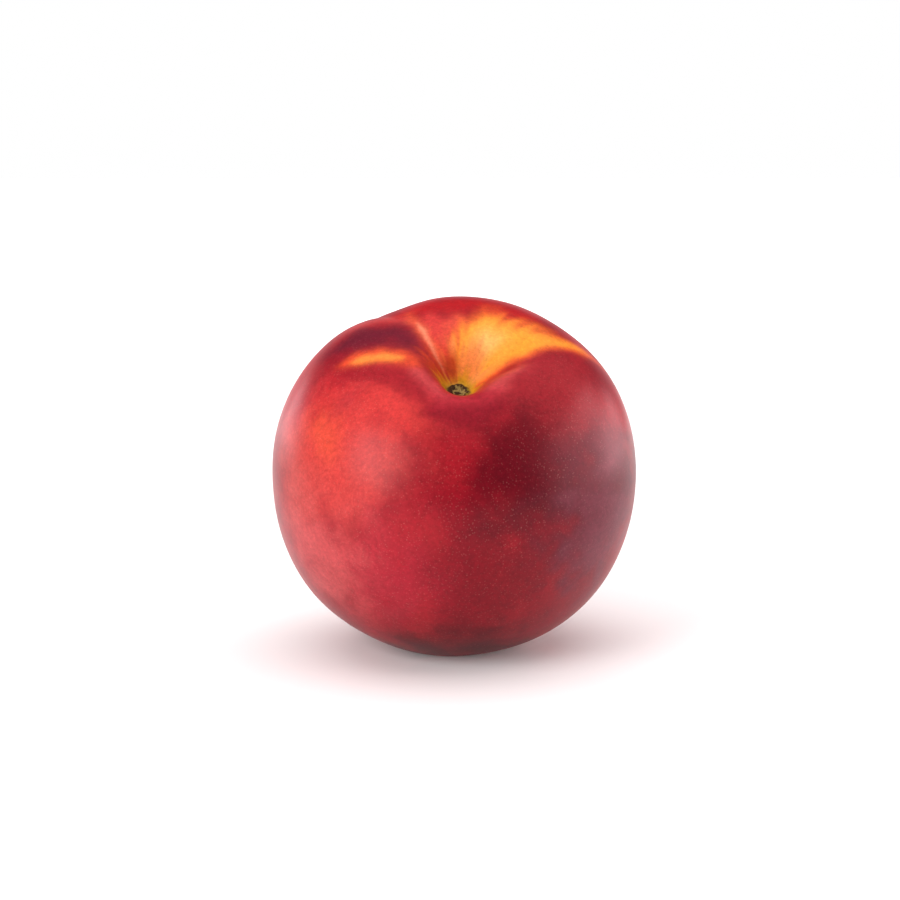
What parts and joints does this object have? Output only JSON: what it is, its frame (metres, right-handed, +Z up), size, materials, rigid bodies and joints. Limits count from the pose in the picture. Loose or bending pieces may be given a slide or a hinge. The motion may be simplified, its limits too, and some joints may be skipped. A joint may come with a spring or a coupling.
{
  "type": "nectarine",
  "caption": "Whole ripe nectarine with a deep stem cavity, a stem scar, a suture crease and a blunt blossom tip, resting with its stem end leaning to the front.",
  "frame": {"origin": "on the surface that the fruit rests on, below the middle of its bounding box", "axes": "+Z up, -Y toward the front, where the stem end leans; +X to the right seen from the front"},
  "size_m": [0.07, 0.0688, 0.0671],
  "materials": {
    "fruit_skin": "smooth waxy fruit skin with a satin sheen, deep red blush over a yellow ground"
  },
  "bodies": {
    "root": {"nectarine": "fruit_skin"}
  },
  "joints": []
}
